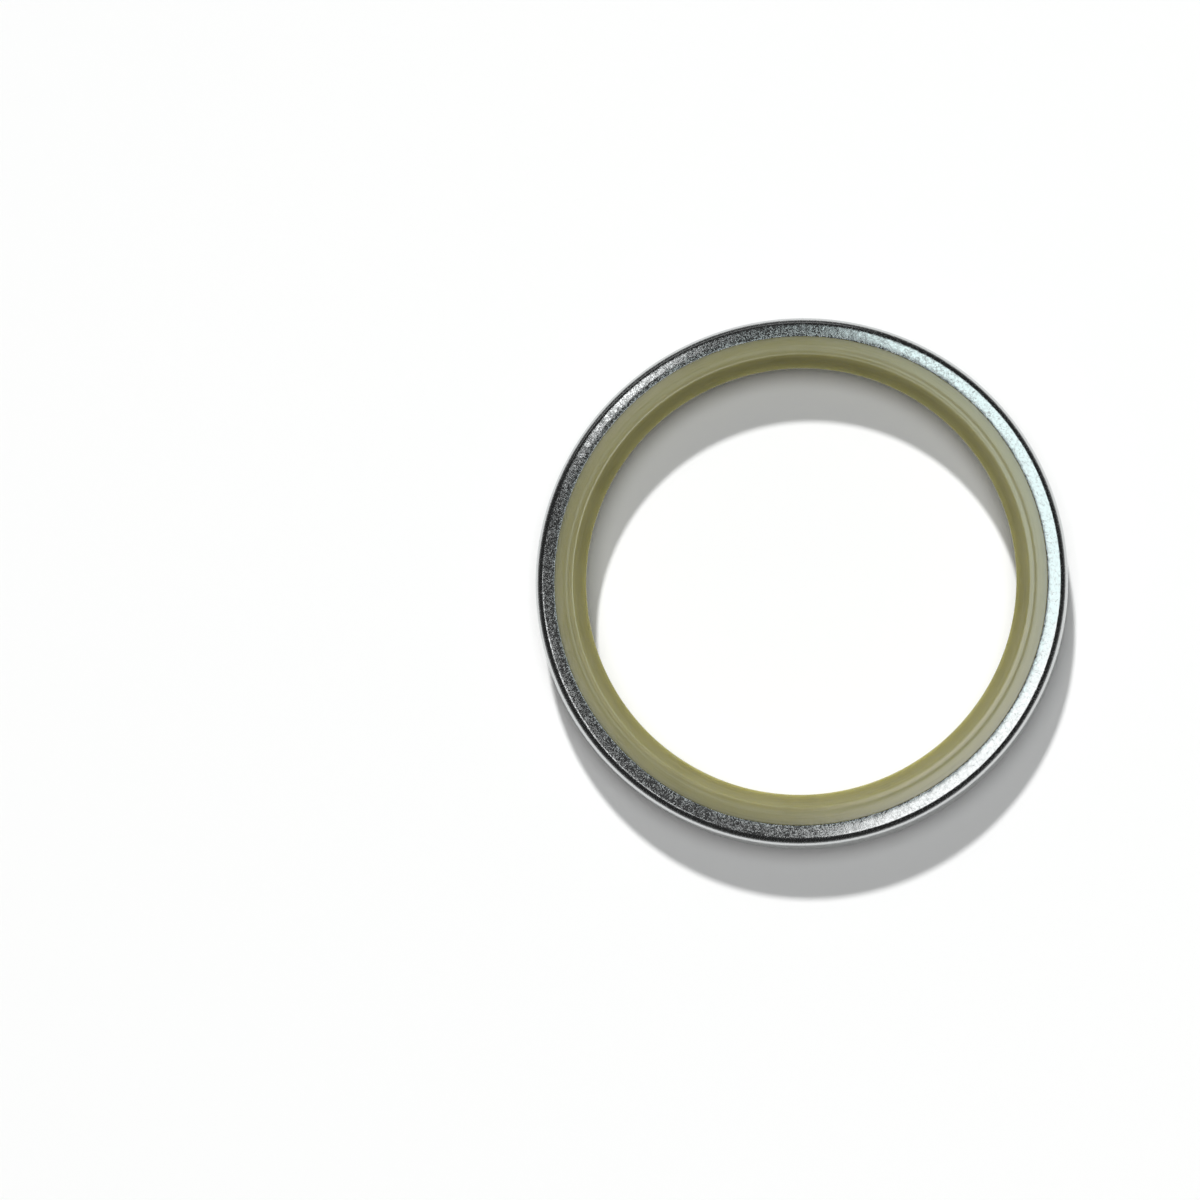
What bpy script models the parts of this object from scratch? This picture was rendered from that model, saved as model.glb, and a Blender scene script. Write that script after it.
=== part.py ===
"""A metal-cased rod wiper seal, 65 mm rod by 79 mm housing bore by 8 mm.

Two pieces make it: a pressed steel case, whose turned-in flange is the outer face,
and a polyurethane wiper element moulded into the case, with its wiping lip in the bore.
The seal stands on the open end of the case, so the flange and the lip face up.
Metres, +Z up, origin on the axis in the plane that the case stands on.
"""

import math

import bmesh
import bpy
from mathutils import Vector

# Fit on the machine
ROD_DIAMETER = 0.065
HOUSING_DEPTH = 0.007  # radial, from the rod to the wall of the housing bore
CASE_HEIGHT = 0.008

# Steel case
SHEET = 0.001
BEND_INNER_RADIUS = 0.0003
FLANGE_EDGE_RADIUS = 0.00025
OPEN_END_CHAMFER = 0.0003

# Wiper element: top face, from the flange inwards
BOND_CLEARANCE = 0.0003
SHOULDER_WIDTH = 0.00115
SHOULDER_DROP = 0.00003  # the shoulder starts this much below the flange
SHOULDER_RISE = 0.00007  # and ends this much above it
SHOULDER_RADIUS = 0.0002
GROOVE_WIDTH = 0.0012
GROOVE_DEPTH = 0.00009
GROOVE_RADIUS = 0.0004
CROWN_WIDTH = 0.00045
CROWN_RISE = 0.0001
CROWN_DISH = 0.00006
CROWN_EDGE_RADIUS = 0.0003

# Wiper element: lip and heel
LIP_BITE = 0.0007  # radial interference on the rod
LIP_EDGE_DEPTH = 0.0012
LIP_LAND = 0.0002
LIP_EDGE_RADIUS = 0.0001
LIP_FRONT_WIDTH = 0.0018
LIP_FRONT_HOLLOW = 0.0002
LIP_FRONT_RADIUS = 0.002
LIP_BACK_HEIGHT = 0.003
LIP_ROOT_RADIUS = 0.0005
BORE_CLEARANCE = 0.0008
HEEL_RECESS = 0.0005
HEEL_CHAMFER = 0.0005

# Radii that both pieces share
ROD_RADIUS = ROD_DIAMETER / 2
CASE_RADIUS = ROD_RADIUS + HOUSING_DEPTH
LIP_RADIUS = ROD_RADIUS - LIP_BITE
CROWN_INNER = LIP_RADIUS + LIP_FRONT_WIDTH
CROWN_OUTER = CROWN_INNER + CROWN_WIDTH
GROOVE_OUTER = CROWN_OUTER + GROOVE_WIDTH
SHOULDER_OUTER = GROOVE_OUTER + SHOULDER_WIDTH
FLANGE_INNER = SHOULDER_OUTER + BOND_CLEARANCE

# Mesh
FACETS_AROUND = 96
ARC_STEP = math.radians(18)
SHARP_ANGLE = math.radians(30)


def clear_scene():
    for obj in list(bpy.data.objects):
        bpy.data.objects.remove(obj, do_unlink=True)


def finish_of(name, colour, roughness, metallic):
    material = bpy.data.materials.new(name)
    material.use_nodes = True
    shader = material.node_tree.nodes["Principled BSDF"]
    shader.inputs["Base Color"].default_value = (*colour, 1)
    shader.inputs["Roughness"].default_value = roughness
    shader.inputs["Metallic"].default_value = metallic
    material.diffuse_color = (*colour, 1)
    return material


def fillet_points(before, corner, after, radius):
    """The arc that rounds a corner of an outline, as points from one side to the other."""
    to_before = (before - corner).normalized()
    to_after = (after - corner).normalized()
    half_angle = to_before.angle(to_after) / 2
    centre = corner + (to_before + to_after).normalized() * radius / math.sin(half_angle)
    start = corner + to_before * radius / math.tan(half_angle) - centre
    end = corner + to_after * radius / math.tan(half_angle) - centre
    turn = math.atan2(start.x * end.y - start.y * end.x, start.dot(end))
    steps = max(1, round(abs(turn) / ARC_STEP))
    points = []
    for step in range(steps + 1):
        angle = turn * step / steps
        across = Vector((-start.y, start.x))
        points.append(centre + start * math.cos(angle) + across * math.sin(angle))
    return points


def outline_of(corners):
    """A closed section from (radius, height, fillet) corners; a fillet of 0 stays sharp."""
    places = [Vector((radius, height)) for radius, height, _ in corners]
    outline = []
    for index, (place, (_, _, fillet)) in enumerate(zip(places, corners)):
        if fillet > 0:
            after = places[(index + 1) % len(places)]
            outline.extend(fillet_points(places[index - 1], place, after, fillet))
        else:
            outline.append(place)
    return outline


def turned_ring(name, corners, material):
    """Turns a section once around Z into one closed ring."""
    ring = bmesh.new()
    points = [ring.verts.new((place.x, 0, place.y)) for place in outline_of(corners)]
    edges = [ring.edges.new((points[i - 1], points[i])) for i in range(len(points))]
    bmesh.ops.spin(
        ring,
        geom=points + edges,
        cent=(0, 0, 0),
        axis=(0, 0, 1),
        angle=math.tau,
        steps=FACETS_AROUND,
        use_merge=True,
    )
    bmesh.ops.recalc_face_normals(ring, faces=ring.faces)
    mesh = bpy.data.meshes.new(name)
    ring.to_mesh(mesh)
    ring.free()
    mesh.shade_smooth()
    mesh.set_sharp_from_angle(angle=SHARP_ANGLE)
    mesh.materials.append(material)
    obj = bpy.data.objects.new(name, mesh)
    bpy.context.scene.collection.objects.link(obj)
    return obj


def steel_case():
    """Pressed from one sheet: the wall that grips the housing, a bend, and the flange."""
    wall_inner = CASE_RADIUS - SHEET
    flange_under = CASE_HEIGHT - SHEET
    bend_outer_radius = BEND_INNER_RADIUS + SHEET
    corners = [
        (CASE_RADIUS - OPEN_END_CHAMFER, 0, 0),
        (CASE_RADIUS, OPEN_END_CHAMFER, 0),
        (CASE_RADIUS, CASE_HEIGHT, bend_outer_radius),
        (FLANGE_INNER, CASE_HEIGHT, FLANGE_EDGE_RADIUS),
        (FLANGE_INNER, flange_under, 0),
        (wall_inner, flange_under, BEND_INNER_RADIUS),
        (wall_inner, 0, 0),
    ]
    steel = finish_of("zinc plated steel", (0.66, 0.67, 0.67), 0.3, 1.0)
    return turned_ring("steel_case", corners, steel)


def wiper_element():
    """Moulded polyurethane: fills the case, meets the flange's edge and carries the lip."""
    bonded_wall = CASE_RADIUS - SHEET - BOND_CLEARANCE
    under_flange = CASE_HEIGHT - SHEET - BOND_CLEARANCE
    shoulder_top = CASE_HEIGHT + SHOULDER_RISE
    groove_middle = (GROOVE_OUTER + CROWN_OUTER) / 2
    crown_top = CASE_HEIGHT + CROWN_RISE
    lip_edge_top = CASE_HEIGHT - LIP_EDGE_DEPTH
    lip_edge_foot = lip_edge_top - LIP_LAND
    lip_root = lip_edge_foot - LIP_BACK_HEIGHT
    bore_radius = ROD_RADIUS + BORE_CLEARANCE
    front_top = Vector((CROWN_INNER, crown_top - CROWN_DISH))
    front_foot = Vector((LIP_RADIUS, lip_edge_top))
    front_fall = front_foot - front_top
    into_lip = Vector((-front_fall.y, front_fall.x)).normalized()
    front_middle = (front_top + front_foot) / 2 + into_lip * LIP_FRONT_HOLLOW
    corners = [
        (bonded_wall, HEEL_RECESS, 0),
        (bonded_wall, under_flange, 0),
        (SHOULDER_OUTER, under_flange, 0),
        (SHOULDER_OUTER, CASE_HEIGHT - SHOULDER_DROP, SHOULDER_RADIUS),
        (GROOVE_OUTER, shoulder_top, GROOVE_RADIUS),
        (groove_middle, shoulder_top - GROOVE_DEPTH, GROOVE_RADIUS),
        (CROWN_OUTER, crown_top, CROWN_EDGE_RADIUS),
        (front_top.x, front_top.y, CROWN_EDGE_RADIUS),
        (front_middle.x, front_middle.y, LIP_FRONT_RADIUS),
        (front_foot.x, front_foot.y, LIP_EDGE_RADIUS),
        (LIP_RADIUS, lip_edge_foot, LIP_EDGE_RADIUS),
        (bore_radius, lip_root, LIP_ROOT_RADIUS),
        (bore_radius, HEEL_RECESS + HEEL_CHAMFER, 0),
        (bore_radius + HEEL_CHAMFER, HEEL_RECESS, 0),
    ]
    polyurethane = finish_of("olive polyurethane", (0.30, 0.29, 0.16), 0.42, 0.0)
    return turned_ring("wiper_element", corners, polyurethane)


clear_scene()
steel_case()
wiper_element()
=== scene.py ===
"""A metal-cased rod wiper seal lying on a white table, seen from almost straight above."""
import math

import bmesh
import bpy
from mathutils import Matrix, Vector


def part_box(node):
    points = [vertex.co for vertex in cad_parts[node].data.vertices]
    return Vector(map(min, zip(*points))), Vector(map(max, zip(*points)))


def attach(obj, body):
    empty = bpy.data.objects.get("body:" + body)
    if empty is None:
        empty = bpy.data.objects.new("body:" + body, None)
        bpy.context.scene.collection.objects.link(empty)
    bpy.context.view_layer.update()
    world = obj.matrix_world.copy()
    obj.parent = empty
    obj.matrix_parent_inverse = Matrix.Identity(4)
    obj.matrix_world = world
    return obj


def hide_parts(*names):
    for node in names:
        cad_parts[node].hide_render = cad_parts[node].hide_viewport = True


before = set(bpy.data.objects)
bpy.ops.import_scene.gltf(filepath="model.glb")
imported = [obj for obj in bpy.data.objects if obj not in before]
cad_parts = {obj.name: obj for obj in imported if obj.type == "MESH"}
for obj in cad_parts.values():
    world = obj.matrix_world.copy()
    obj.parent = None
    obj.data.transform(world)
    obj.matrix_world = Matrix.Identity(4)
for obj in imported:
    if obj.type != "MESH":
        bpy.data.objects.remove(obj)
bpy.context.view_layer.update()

scene = bpy.context.scene
scene.view_settings.view_transform = "Standard"


# Camera. A long lens looks down on the flange, a few degrees off the seal's axis towards
# the near right. The seal stands right of the middle of the frame.
_, case_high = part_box("steel_case")
CAMERA_DISTANCE = 0.7
LEAN_RIGHT = math.radians(3.0)
LEAN_NEAR = math.radians(7.8)
SENSOR_WIDTH = 0.036
FRAME_WIDTH = 0.1778  # how much the picture spans at the flange
CLIP_START = 0.01
MM_PER_METRE = 1000
SEAL_RIGHT_OF_MIDDLE = 0.02973
SEAL_ABOVE_MIDDLE = 0.00274

seal_top = Vector((0, 0, case_high[2]))
towards_camera = Vector((math.sin(LEAN_RIGHT), -math.sin(LEAN_NEAR), 1)).normalized()
camera_place = seal_top + towards_camera * CAMERA_DISTANCE
frame_middle = seal_top - Vector((SEAL_RIGHT_OF_MIDDLE, SEAL_ABOVE_MIDDLE, 0))
back = (camera_place - frame_middle).normalized()
right = Vector((0, 1, 0)).cross(back).normalized()
up = back.cross(right)
lens = bpy.data.cameras.new("camera")
lens.sensor_width = SENSOR_WIDTH * MM_PER_METRE
lens.lens = SENSOR_WIDTH * MM_PER_METRE * CAMERA_DISTANCE / FRAME_WIDTH
lens.clip_start = CLIP_START
camera = bpy.data.objects.new("camera", lens)
camera_turn = Matrix((right, up, back)).transposed().to_4x4()
camera.matrix_world = Matrix.Translation(camera_place) @ camera_turn
scene.collection.objects.link(camera)
scene.camera = camera


# Table. A wide sheet of matt white board. The seal lies on it with the flange up, and it
# takes the seal's shadow.
TABLE_WIDTH = 8
TABLE_WHITE = (0.96, 0.96, 0.955, 1)
TABLE_ROUGHNESS = 0.9

bpy.ops.object.select_all(action="DESELECT")
bpy.ops.mesh.primitive_plane_add(size=TABLE_WIDTH)
table = bpy.context.object
table.name = "table"
board = bpy.data.materials.new("matt white board")
board.use_nodes = True
board_shader = board.node_tree.nodes["Principled BSDF"]
board_shader.inputs["Base Color"].default_value = TABLE_WHITE
board_shader.inputs["Roughness"].default_value = TABLE_ROUGHNESS
board_shader.inputs["Specular IOR Level"].default_value = 0
table.data.materials.append(board)


# Lights. A sun from the far side throws the shadow and a disk overhead fills it; neither
# shows in a gloss. The steel mirrors what hangs in a row above, a lamp and a soft box on the
# right, a card and a dim glow on the far side and a strip on the left, and the dark room.
KEY_BEARING = math.radians(98)
KEY_HEIGHT = math.radians(44)
KEY_SPREAD = math.radians(4.5)
KEY_STRENGTH = 2.82
FILL_BRIGHTNESS = 2.6
FILL_WIDTH = 0.8
FILL_HEIGHT = 1.2
ROW_HEIGHT = 1.0
LAMP_BRIGHTNESS = 1.65
LAMP_SIZE = (0.35, 0.29)
LAMP_PLACE = (0.156, -0.055)
BOX_BRIGHTNESS = 1.6
BOX_COLOUR = (0.85, 1, 1)
BOX_SIZE = (0.35, 0.25)
BOX_PLACE = (0.158, 0.215)
CARD_BRIGHTNESS = 2.2
CARD_SIZE = (0.08, 0.08)
CARD_PLACE = (-0.185, 0.28)
STRIP_BRIGHTNESS = 2
STRIP_SIZE = (0.05, 0.34)
STRIP_PLACE = (-0.258, -0.009)
STRIP_TURN = math.radians(24)
GLOW_BRIGHTNESS = 0.35
GLOW_SIZE = (1.5, 0.35)
GLOW_PLACE = (-0.5, 1.15)
GLOW_TURN = math.radians(20)
ROOM_SHADES = ((0, 0.3), (0.45, 0.03), (0.9, 0.03), (1, 0.06))  # from the horizon, 0, to overhead, 1


def hang(name, lamp, place, aim):
    """Hangs a lamp at a place, facing the way that aim points."""
    light = bpy.data.objects.new(name, lamp)
    light_turn = aim.to_track_quat("-Z", "Y").to_matrix().to_4x4()
    light.matrix_world = Matrix.Translation(place) @ light_turn
    scene.collection.objects.link(light)
    return light


def hang_card(name, place, size, brightness, turn=0):
    """Hangs a flat rectangular lamp in the row above the table, facing straight down."""
    lamp = bpy.data.lights.new(name, "AREA")
    lamp.shape = "RECTANGLE"
    lamp.size = size[0]
    lamp.size_y = size[1]
    lamp.energy = brightness * math.pi * size[0] * size[1]
    card = bpy.data.objects.new(name, lamp)
    card.matrix_world = Matrix.Translation((*place, ROW_HEIGHT)) @ Matrix.Rotation(turn, 4, "Z")
    scene.collection.objects.link(card)
    return lamp


key_way = Vector((math.cos(KEY_BEARING), math.sin(KEY_BEARING), math.tan(KEY_HEIGHT))).normalized()
key = bpy.data.lights.new("key", "SUN")
key.energy = KEY_STRENGTH
key.angle = KEY_SPREAD
key_light = hang("key", key, key_way, -key_way)
key_light.visible_glossy = False

fill = bpy.data.lights.new("fill", "AREA")
fill.shape = "DISK"
fill.size = FILL_WIDTH
fill.energy = FILL_BRIGHTNESS * math.pi * math.pi * FILL_WIDTH**2 / 4
fill_light = hang("fill", fill, Vector((0, 0, FILL_HEIGHT)), Vector((0, 0, -1)))
fill_light.visible_glossy = False

hang_card("right_lamp", LAMP_PLACE, LAMP_SIZE, LAMP_BRIGHTNESS)
soft_box = hang_card("soft_box", BOX_PLACE, BOX_SIZE, BOX_BRIGHTNESS)
soft_box.color = BOX_COLOUR
hang_card("far_card", CARD_PLACE, CARD_SIZE, CARD_BRIGHTNESS)
hang_card("left_strip", STRIP_PLACE, STRIP_SIZE, STRIP_BRIGHTNESS, STRIP_TURN)
hang_card("far_glow", GLOW_PLACE, GLOW_SIZE, GLOW_BRIGHTNESS, GLOW_TURN)

room = bpy.data.worlds.new("dark room")
room.use_nodes = True
scene.world = room
room_nodes = room.node_tree.nodes
room_links = room.node_tree.links
room_way = room_nodes.new("ShaderNodeTexCoord")
room_axes = room_nodes.new("ShaderNodeSeparateXYZ")
room_shade = room_nodes.new("ShaderNodeValToRGB")
for height, _ in ROOM_SHADES[1:-1]:
    room_shade.color_ramp.elements.new(height)
for stop, (_, shade) in zip(room_shade.color_ramp.elements, ROOM_SHADES):
    stop.color = (shade, shade, shade, 1)
room_links.new(room_way.outputs["Generated"], room_axes.inputs["Vector"])
room_links.new(room_axes.outputs["Z"], room_shade.inputs["Fac"])
room_links.new(room_shade.outputs["Color"], room_nodes["Background"].inputs["Color"])


# Steel case. One piece of sheet steel pressed to an L section: a wall that grips the
# housing, a rounded bend, and a flange turned in over the wiper element. It is tumbled
# and zinc plated, which leaves a fine worm-like grain.
CASE_RADIUS = case_high[0]
CASE_HEIGHT = case_high[2]
SHEET = 0.001
FLANGE_INNER = 0.03652
FLANGE_CREST = 0.0377  # the flange is slightly domed, and falls more steeply outside this radius
CREST_DROP = 0.00003
CREST_ROUNDING = 0.0004
FLANGE_DROP = 0.000125  # from the flange's inner edge to where its slope meets the wall
WALL_TOP = CASE_HEIGHT - FLANGE_DROP
BEND_RADIUS = 0.0012
BEND_INNER_RADIUS = 0.0003
FLANGE_EDGE_RADIUS = 0.00008
OPEN_END_CHAMFER = 0.0003
AROUND = 384  # facets in a ring
NEAR = 0.00003  # how far from its stated place a picked edge may lie
MERGE_WITHIN = 0.000001
SMOOTH_ANGLE = math.radians(35)
PLATE_COLOUR = (0.6, 0.615, 0.615, 1)
PLATE_GRAIN = {"Scale": 3600, "Detail": 1, "Roughness": 0.6, "Distortion": 1.2}
PLATE_GRAIN_DEPTH = 0.000004
PLATE_WAVES = {"Scale": 600, "Detail": 1}
PLATE_WAVES_DEPTH = 0.000012
# The grain's dips are smooth and its crests are dull.
PLATE_GLOSS = {"From Min": 0.45, "From Max": 0.65, "To Min": 0.06, "To Max": 0.28}


def pick_ring(piece, radius, height):
    """Selects the ring of edges that lies at one radius and height."""
    bpy.ops.mesh.select_mode(type="EDGE")
    bpy.ops.mesh.select_all(action="DESELECT")
    mesh = bmesh.from_edit_mesh(piece.data)
    for edge in mesh.edges:
        ends = [(math.hypot(v.co.x, v.co.y), v.co.z) for v in edge.verts]
        if all(abs(r - radius) < NEAR and abs(z - height) < NEAR for r, z in ends):
            edge.select_set(True)
    bmesh.update_edit_mesh(piece.data)


def round_ring(piece, radius, height, rounding, steps):
    """Bevels the ring of edges at one radius and height, in so many steps."""
    pick_ring(piece, radius, height)
    bpy.ops.mesh.bevel(offset=rounding, segments=steps, affect="EDGES", clamp_overlap=False)


def finish_mesh(piece):
    """Faces outwards, shades smooth and lets the wide faces set the shading at each edge."""
    bpy.ops.mesh.select_all(action="SELECT")
    bpy.ops.mesh.remove_doubles(threshold=MERGE_WITHIN)
    bpy.ops.mesh.normals_make_consistent(inside=False)
    bpy.ops.object.mode_set(mode="OBJECT")
    bpy.ops.object.shade_smooth_by_angle(angle=SMOOTH_ANGLE)
    weighting = piece.modifiers.new("weighting", "WEIGHTED_NORMAL")
    weighting.keep_sharp = True
    bpy.ops.object.modifier_apply(modifier=weighting.name)


bpy.ops.object.select_all(action="DESELECT")
bpy.ops.mesh.primitive_cylinder_add(
    vertices=AROUND,
    radius=CASE_RADIUS,
    depth=WALL_TOP,
    end_fill_type="NOTHING",
    location=(0, 0, WALL_TOP / 2),
)
case = bpy.context.object
case.name = "pressed_steel_case"
bpy.ops.object.transform_apply(location=True)
bpy.ops.object.mode_set(mode="EDIT")
pick_ring(case, CASE_RADIUS, WALL_TOP)
bpy.ops.mesh.extrude_edges_move()
to_crest = FLANGE_CREST / CASE_RADIUS
bpy.ops.transform.resize(value=(to_crest, to_crest, 1), center_override=(0, 0, CASE_HEIGHT))
bpy.ops.transform.translate(value=(0, 0, FLANGE_DROP - CREST_DROP))
bpy.ops.mesh.extrude_edges_move()
to_edge = FLANGE_INNER / FLANGE_CREST
bpy.ops.transform.resize(value=(to_edge, to_edge, 1), center_override=(0, 0, CASE_HEIGHT))
bpy.ops.transform.translate(value=(0, 0, CREST_DROP))
bpy.ops.mesh.select_all(action="SELECT")
bpy.ops.mesh.normals_make_consistent(inside=False)
bpy.ops.object.mode_set(mode="OBJECT")
sheet = case.modifiers.new("sheet", "SOLIDIFY")
sheet.thickness = SHEET
sheet.offset = -1
sheet.use_even_offset = True
bpy.ops.object.modifier_apply(modifier=sheet.name)
bpy.ops.object.mode_set(mode="EDIT")
round_ring(case, CASE_RADIUS, WALL_TOP, BEND_RADIUS, steps=20)
round_ring(case, CASE_RADIUS - SHEET, WALL_TOP - SHEET, BEND_INNER_RADIUS, steps=4)
round_ring(case, FLANGE_CREST, CASE_HEIGHT - CREST_DROP, CREST_ROUNDING, steps=6)
round_ring(case, FLANGE_INNER, CASE_HEIGHT, FLANGE_EDGE_RADIUS, steps=6)
round_ring(case, CASE_RADIUS, 0, OPEN_END_CHAMFER, steps=1)
finish_mesh(case)


def add_node(material, kind, inputs, **settings):
    """Adds a node. An input takes a value, or the output of another node that feeds it."""
    node = material.node_tree.nodes.new(kind)
    for name, value in settings.items():
        setattr(node, name, value)
    for name, value in inputs.items():
        if isinstance(value, bpy.types.NodeSocket):
            material.node_tree.links.new(value, node.inputs[name])
        else:
            node.inputs[name].default_value = value
    return node


steel = bpy.data.materials.new("tumbled zinc plate")
steel.use_nodes = True
steel_shader = steel.node_tree.nodes["Principled BSDF"]
steel_place = add_node(steel, "ShaderNodeTexCoord", {}).outputs["Object"]
steel_grain = add_node(
    steel, "ShaderNodeTexNoise", {"Vector": steel_place, **PLATE_GRAIN}
).outputs["Fac"]
steel_waves = add_node(
    steel, "ShaderNodeTexNoise", {"Vector": steel_place, **PLATE_WAVES}
).outputs["Fac"]
steel_grain_bump = add_node(
    steel, "ShaderNodeBump", {"Height": steel_grain, "Strength": 1, "Distance": PLATE_GRAIN_DEPTH}
).outputs["Normal"]
steel_waves_bump = add_node(
    steel,
    "ShaderNodeBump",
    {
        "Height": steel_waves,
        "Strength": 1,
        "Distance": PLATE_WAVES_DEPTH,
        "Normal": steel_grain_bump,
    },
).outputs["Normal"]
steel_gloss = add_node(
    steel, "ShaderNodeMapRange", {"Value": steel_grain, **PLATE_GLOSS}
).outputs["Result"]
steel_shader.inputs["Base Color"].default_value = PLATE_COLOUR
steel_shader.inputs["Metallic"].default_value = 1
steel.node_tree.links.new(steel_gloss, steel_shader.inputs["Roughness"])
steel.node_tree.links.new(steel_waves_bump, steel_shader.inputs["Normal"])
case.data.materials.append(steel)
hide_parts("steel_case")
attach(case, "root")


# Wiper element. A ring of translucent olive polyurethane, moulded in one shot inside the
# case and bonded to it. From the flange's edge inwards it has a shoulder, a shallow
# groove, a narrow crown and the hollow front of the lip, whose edge scrapes the rod.
BOND_LINE = 0.00001
WALL_INNER = CASE_RADIUS - SHEET - BOND_LINE
FLANGE_UNDER = WALL_TOP - SHEET - BOND_LINE
CLAMPED_ROUNDING = 0.0003
SHOULDER_OUTER = FLANGE_INNER - BOND_LINE
SHOULDER_DROP = 0.00001  # the shoulder starts this much below the flange
SHOULDER_RISE = 0.00007  # and ends this much above it
SHOULDER_ROUNDING = 0.00005
GROOVE_OUTER = 0.03505
GROOVE_FLOOR = 0.0344
GROOVE_DEPTH = 0.00004
GROOVE_ROUNDING = 0.00025
CROWN_OUTER = 0.03395
CROWN_INNER = 0.0337
CROWN_RISE = 0.00009
CROWN_DISH = 0.00004
CROWN_ROUNDING = 0.00012
LIP_RADIUS = 0.0319
LIP_EDGE_TOP = 0.0068
LIP_EDGE_ROUNDING = 0.00007
LIP_LAND = 0.0002
LIP_HOLLOW = 0.00014
LIP_HOLLOW_ROUNDING = 0.0008
LIP_BACK_HEIGHT = 0.003
LIP_ROOT_ROUNDING = 0.0004
BORE_RADIUS = 0.0333
HEEL_RECESS = 0.0005
HEEL_CHAMFER = 0.0005
RUBBER_DARK = (0.253, 0.239, 0.108, 1)
RUBBER_LIGHT = (0.277, 0.263, 0.124, 1)
RUBBER_DARK_UP_TO = 0.75  # the shade, streaks plus cloud, above which the colour lightens
RUBBER_CLOUD = {"Scale": 160, "Detail": 3}
RUBBER_GRAIN = {"Scale": 2600, "Detail": 1}
GRAIN_DEPTH = 0.000004
SHOULDER_GRAIN_DEPTH = 0.000014  # the grain deepens across the shoulder
SHOULDER_GRAIN_INSET = 0.0004
STREAKS = {"Scale": 1, "Detail": 2}
STREAK_ALONG = 60  # per metre around the ring, so the mould's turning marks are long
STREAK_ACROSS = 5000
STREAK_DEPTH = 0.000002
RUBBER_ROUGHNESS = 0.19
RUBBER_IOR = 1.7
LIGHT_REACH = 0.006  # how far light spreads inside the rubber
LIGHT_REACH_BY_COLOUR = (1, 0.92, 0.5)

crown_top = CASE_HEIGHT + CROWN_RISE
shoulder_top = CASE_HEIGHT + SHOULDER_RISE
crown_inner_top = crown_top - CROWN_DISH
lip_edge_foot = LIP_EDGE_TOP - LIP_LAND
lip_fall = Vector((LIP_RADIUS - CROWN_INNER, LIP_EDGE_TOP - crown_inner_top))
into_lip = Vector((-lip_fall.y, lip_fall.x)).normalized()
lip_middle = Vector((CROWN_INNER, crown_inner_top)) + lip_fall / 2 + into_lip * LIP_HOLLOW
element_corners = [  # radius, height, rounding and the steps of that rounding
    (WALL_INNER, HEEL_RECESS, 0, 0),
    (WALL_INNER, FLANGE_UNDER, CLAMPED_ROUNDING, 3),
    (SHOULDER_OUTER, FLANGE_UNDER, 0, 0),
    (SHOULDER_OUTER, CASE_HEIGHT - SHOULDER_DROP, SHOULDER_ROUNDING, 4),
    (GROOVE_OUTER, shoulder_top, GROOVE_ROUNDING, 6),
    (GROOVE_FLOOR, shoulder_top - GROOVE_DEPTH, GROOVE_ROUNDING, 6),
    (CROWN_OUTER, crown_top, CROWN_ROUNDING, 6),
    (CROWN_INNER, crown_inner_top, CROWN_ROUNDING, 8),
    (lip_middle.x, lip_middle.y, LIP_HOLLOW_ROUNDING, 10),
    (LIP_RADIUS, LIP_EDGE_TOP, LIP_EDGE_ROUNDING, 4),
    (LIP_RADIUS, lip_edge_foot, LIP_EDGE_ROUNDING, 4),
    (BORE_RADIUS, lip_edge_foot - LIP_BACK_HEIGHT, LIP_ROOT_ROUNDING, 4),
    (BORE_RADIUS, HEEL_RECESS + HEEL_CHAMFER, 0, 0),
    (BORE_RADIUS + HEEL_CHAMFER, HEEL_RECESS, 0, 0),
]

bpy.ops.object.select_all(action="DESELECT")
bpy.ops.mesh.primitive_circle_add(vertices=AROUND, radius=WALL_INNER, location=(0, 0, HEEL_RECESS))
element = bpy.context.object
element.name = "moulded_wiper_element"
bpy.ops.object.transform_apply(location=True)
bpy.ops.object.mode_set(mode="EDIT")
bpy.ops.mesh.select_mode(type="EDGE")
bpy.ops.mesh.select_all(action="SELECT")
for corner, next_corner in zip(element_corners, element_corners[1:]):
    radius, height, _, _ = corner
    next_radius, next_height, _, _ = next_corner
    growth = next_radius / radius
    bpy.ops.mesh.extrude_edges_move()
    bpy.ops.transform.resize(value=(growth, growth, 1), center_override=(0, 0, height))
    bpy.ops.transform.translate(value=(0, 0, next_height - height))
bpy.ops.mesh.select_all(action="DESELECT")
element_mesh = bmesh.from_edit_mesh(element.data)
for edge in element_mesh.edges:
    edge.select_set(edge.is_boundary)
bmesh.update_edit_mesh(element.data)
bpy.ops.mesh.bridge_edge_loops()
for radius, height, rounding, steps in element_corners:
    if rounding > 0:
        round_ring(element, radius, height, rounding, steps)
finish_mesh(element)

polyurethane = bpy.data.materials.new("olive polyurethane")
polyurethane.use_nodes = True
rubber_shader = polyurethane.node_tree.nodes["Principled BSDF"]
rubber_place = add_node(polyurethane, "ShaderNodeTexCoord", {}).outputs["Object"]
rubber_flat = add_node(
    polyurethane, "ShaderNodeVectorMath", {0: rubber_place, 1: (1, 1, 0)}, operation="MULTIPLY"
).outputs["Vector"]
from_axis = add_node(
    polyurethane, "ShaderNodeVectorMath", {0: rubber_flat}, operation="LENGTH"
).outputs["Value"]
along_ring = add_node(
    polyurethane, "ShaderNodeVectorMath", {0: rubber_flat, "Scale": STREAK_ALONG}, operation="SCALE"
).outputs["Vector"]
across_ring = add_node(
    polyurethane, "ShaderNodeMath", {0: from_axis, 1: STREAK_ACROSS}, operation="MULTIPLY"
).outputs["Value"]
streak_way = add_node(polyurethane, "ShaderNodeCombineXYZ", {"Z": across_ring}).outputs["Vector"]
streak_place = add_node(
    polyurethane, "ShaderNodeVectorMath", {0: along_ring, 1: streak_way}, operation="ADD"
).outputs["Vector"]
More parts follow.
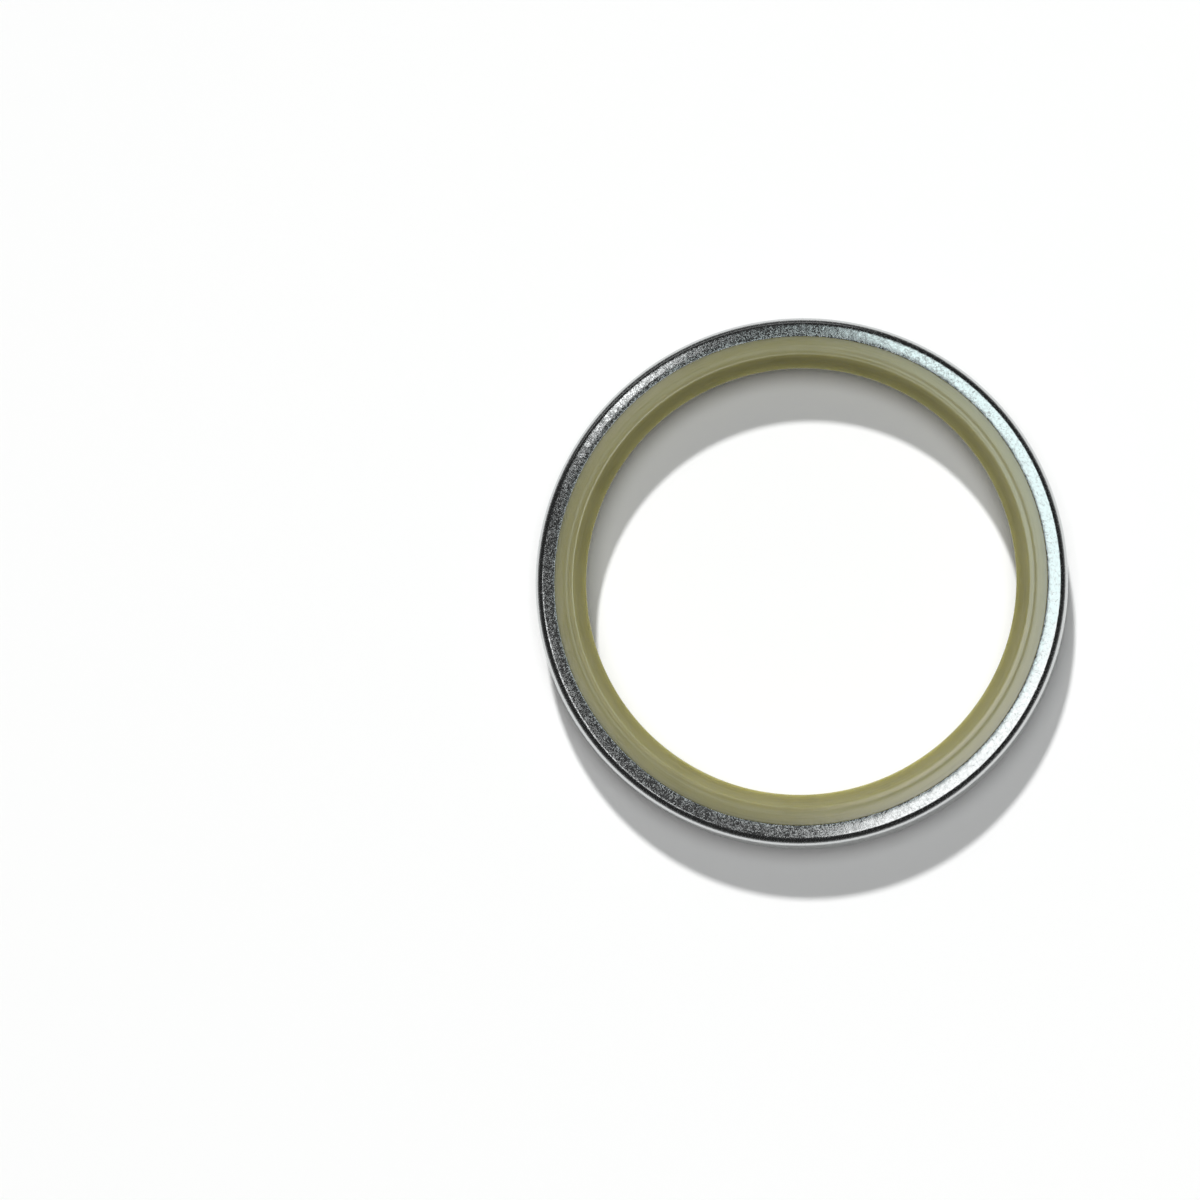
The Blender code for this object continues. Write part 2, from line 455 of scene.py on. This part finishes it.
rubber_streaks = add_node(
    polyurethane, "ShaderNodeTexNoise", {"Vector": streak_place, **STREAKS}
).outputs["Fac"]
rubber_cloud = add_node(
    polyurethane, "ShaderNodeTexNoise", {"Vector": rubber_place, **RUBBER_CLOUD}
).outputs["Fac"]
rubber_shade = add_node(
    polyurethane, "ShaderNodeMath", {0: rubber_streaks, 1: rubber_cloud}, operation="ADD"
).outputs["Value"]
rubber_colour = add_node(polyurethane, "ShaderNodeValToRGB", {"Fac": rubber_shade})
rubber_colour.color_ramp.elements[0].position = RUBBER_DARK_UP_TO
rubber_colour.color_ramp.elements[0].color = RUBBER_DARK
rubber_colour.color_ramp.elements[1].color = RUBBER_LIGHT
rubber_grain = add_node(
    polyurethane, "ShaderNodeTexNoise", {"Vector": rubber_place, **RUBBER_GRAIN}
).outputs["Fac"]
rubber_grain_depth = add_node(
    polyurethane,
    "ShaderNodeMapRange",
    {
        "Value": from_axis,
        "From Min": GROOVE_OUTER - SHOULDER_GRAIN_INSET,
        "From Max": SHOULDER_OUTER - SHOULDER_GRAIN_INSET,
        "To Min": GRAIN_DEPTH,
        "To Max": SHOULDER_GRAIN_DEPTH,
    },
).outputs["Result"]
rubber_grain_bump = add_node(
    polyurethane,
    "ShaderNodeBump",
    {"Height": rubber_grain, "Strength": 1, "Distance": rubber_grain_depth},
).outputs["Normal"]
streak_bump = add_node(
    polyurethane,
    "ShaderNodeBump",
    {
        "Height": rubber_streaks,
        "Strength": 1,
        "Distance": STREAK_DEPTH,
        "Normal": rubber_grain_bump,
    },
).outputs["Normal"]
rubber_shader.inputs["Roughness"].default_value = RUBBER_ROUGHNESS
rubber_shader.inputs["IOR"].default_value = RUBBER_IOR
rubber_shader.inputs["Specular IOR Level"].default_value = 1
rubber_shader.inputs["Subsurface Weight"].default_value = 1
rubber_shader.inputs["Subsurface Radius"].default_value = LIGHT_REACH_BY_COLOUR
rubber_shader.inputs["Subsurface Scale"].default_value = LIGHT_REACH
polyurethane.node_tree.links.new(rubber_colour.outputs["Color"], rubber_shader.inputs["Base Color"])
polyurethane.node_tree.links.new(streak_bump, rubber_shader.inputs["Normal"])
element.data.materials.append(polyurethane)
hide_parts("wiper_element")
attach(element, "root")
